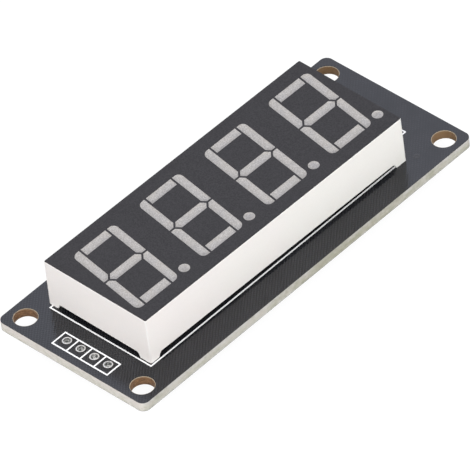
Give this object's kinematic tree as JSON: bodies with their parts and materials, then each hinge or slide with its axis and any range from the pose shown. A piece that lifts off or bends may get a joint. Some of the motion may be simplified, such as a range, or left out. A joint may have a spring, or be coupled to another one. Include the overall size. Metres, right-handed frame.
{
  "type": "seven segment display module",
  "caption": "Numeric display module: a white moulded display block with slanted digits and decimal points on a black circuit board with corner mounting holes and header holes at both ends.",
  "frame": {"origin": "centre of the four mounting holes, on the underside of the circuit board", "axes": "+Z out of the display's face, +X along the board in reading direction, +Y up the digits"},
  "size_m": [0.0658, 0.0272, 0.0117],
  "materials": {
    "laminate": "sawn glass-fibre laminate, dull",
    "solder_mask": "black solder mask, satin with a faint weave",
    "legend_ink": "white printed ink",
    "tinned_plating": "tinned copper",
    "housing_plastic": "moulded off-white plastic, satin",
    "face_ink": "dark grey printed ink, matt",
    "epoxy": "cast milky epoxy with fine grain",
    "light_board": "laminate with green mask",
    "light_chip": "diode chip",
    "pin_metal": "tinned wire",
    "solder": "bright solder",
    "driver_plastic": "black moulding compound, matt",
    "lead_metal": "tinned lead frame, satin",
    "capacitor_ceramic": "brown ceramic",
    "resistor_coat": "black glaze",
    "end_cap_metal": "tinned end caps"
  },
  "bodies": {
    "root": {"board_core": "laminate", "solder_mask_top": "solder_mask", "solder_mask_bottom": "solder_mask", "legend_top": "legend_ink", "legend_bottom": "legend_ink", "header_eyelets_left": "tinned_plating", "header_eyelets_right": "tinned_plating", "display_eyelets": "tinned_plating", "component_lands": "tinned_plating", "display_shell": "housing_plastic", "face_ink": "face_ink", "epoxy_fill": "epoxy", "light_board": "light_board", "light_chips_1": "light_chip", "light_chips_2": "light_chip", "light_chips_3": "light_chip", "light_chips_4": "light_chip", "display_pin_1": "pin_metal", "display_pin_2": "pin_metal", "display_pin_3": "pin_metal", "display_pin_4": "pin_metal", "display_pin_5": "pin_metal", "display_pin_6": "pin_metal", "display_pin_7": "pin_metal", "display_pin_8": "pin_metal", "display_pin_9": "pin_metal", "display_pin_10": "pin_metal", "display_pin_11": "pin_metal", "display_pin_12": "pin_metal", "pin_solder": "solder", "driver_package": "driver_plastic", "driver_lead_1": "lead_metal", "driver_lead_2": "lead_metal", "driver_lead_3": "lead_metal", "driver_lead_4": "lead_metal", "driver_lead_5": "lead_metal", "driver_lead_6": "lead_metal", "driver_lead_7": "lead_metal", "driver_lead_8": "lead_metal", "driver_lead_9": "lead_metal", "driver_lead_10": "lead_metal", "driver_lead_11": "lead_metal", "driver_lead_12": "lead_metal", "driver_lead_13": "lead_metal", "driver_lead_14": "lead_metal", "driver_lead_15": "lead_metal", "driver_lead_16": "lead_metal", "driver_lead_17": "lead_metal", "driver_lead_18": "lead_metal", "driver_lead_19": "lead_metal", "driver_lead_20": "lead_metal", "capacitor_1": "capacitor_ceramic", "capacitor_2": "capacitor_ceramic", "capacitor_3": "capacitor_ceramic", "capacitor_4": "capacitor_ceramic", "resistor_1": "resistor_coat", "resistor_2": "resistor_coat", "capacitor_ends": "end_cap_metal", "resistor_ends": "end_cap_metal"}
  },
  "joints": []
}
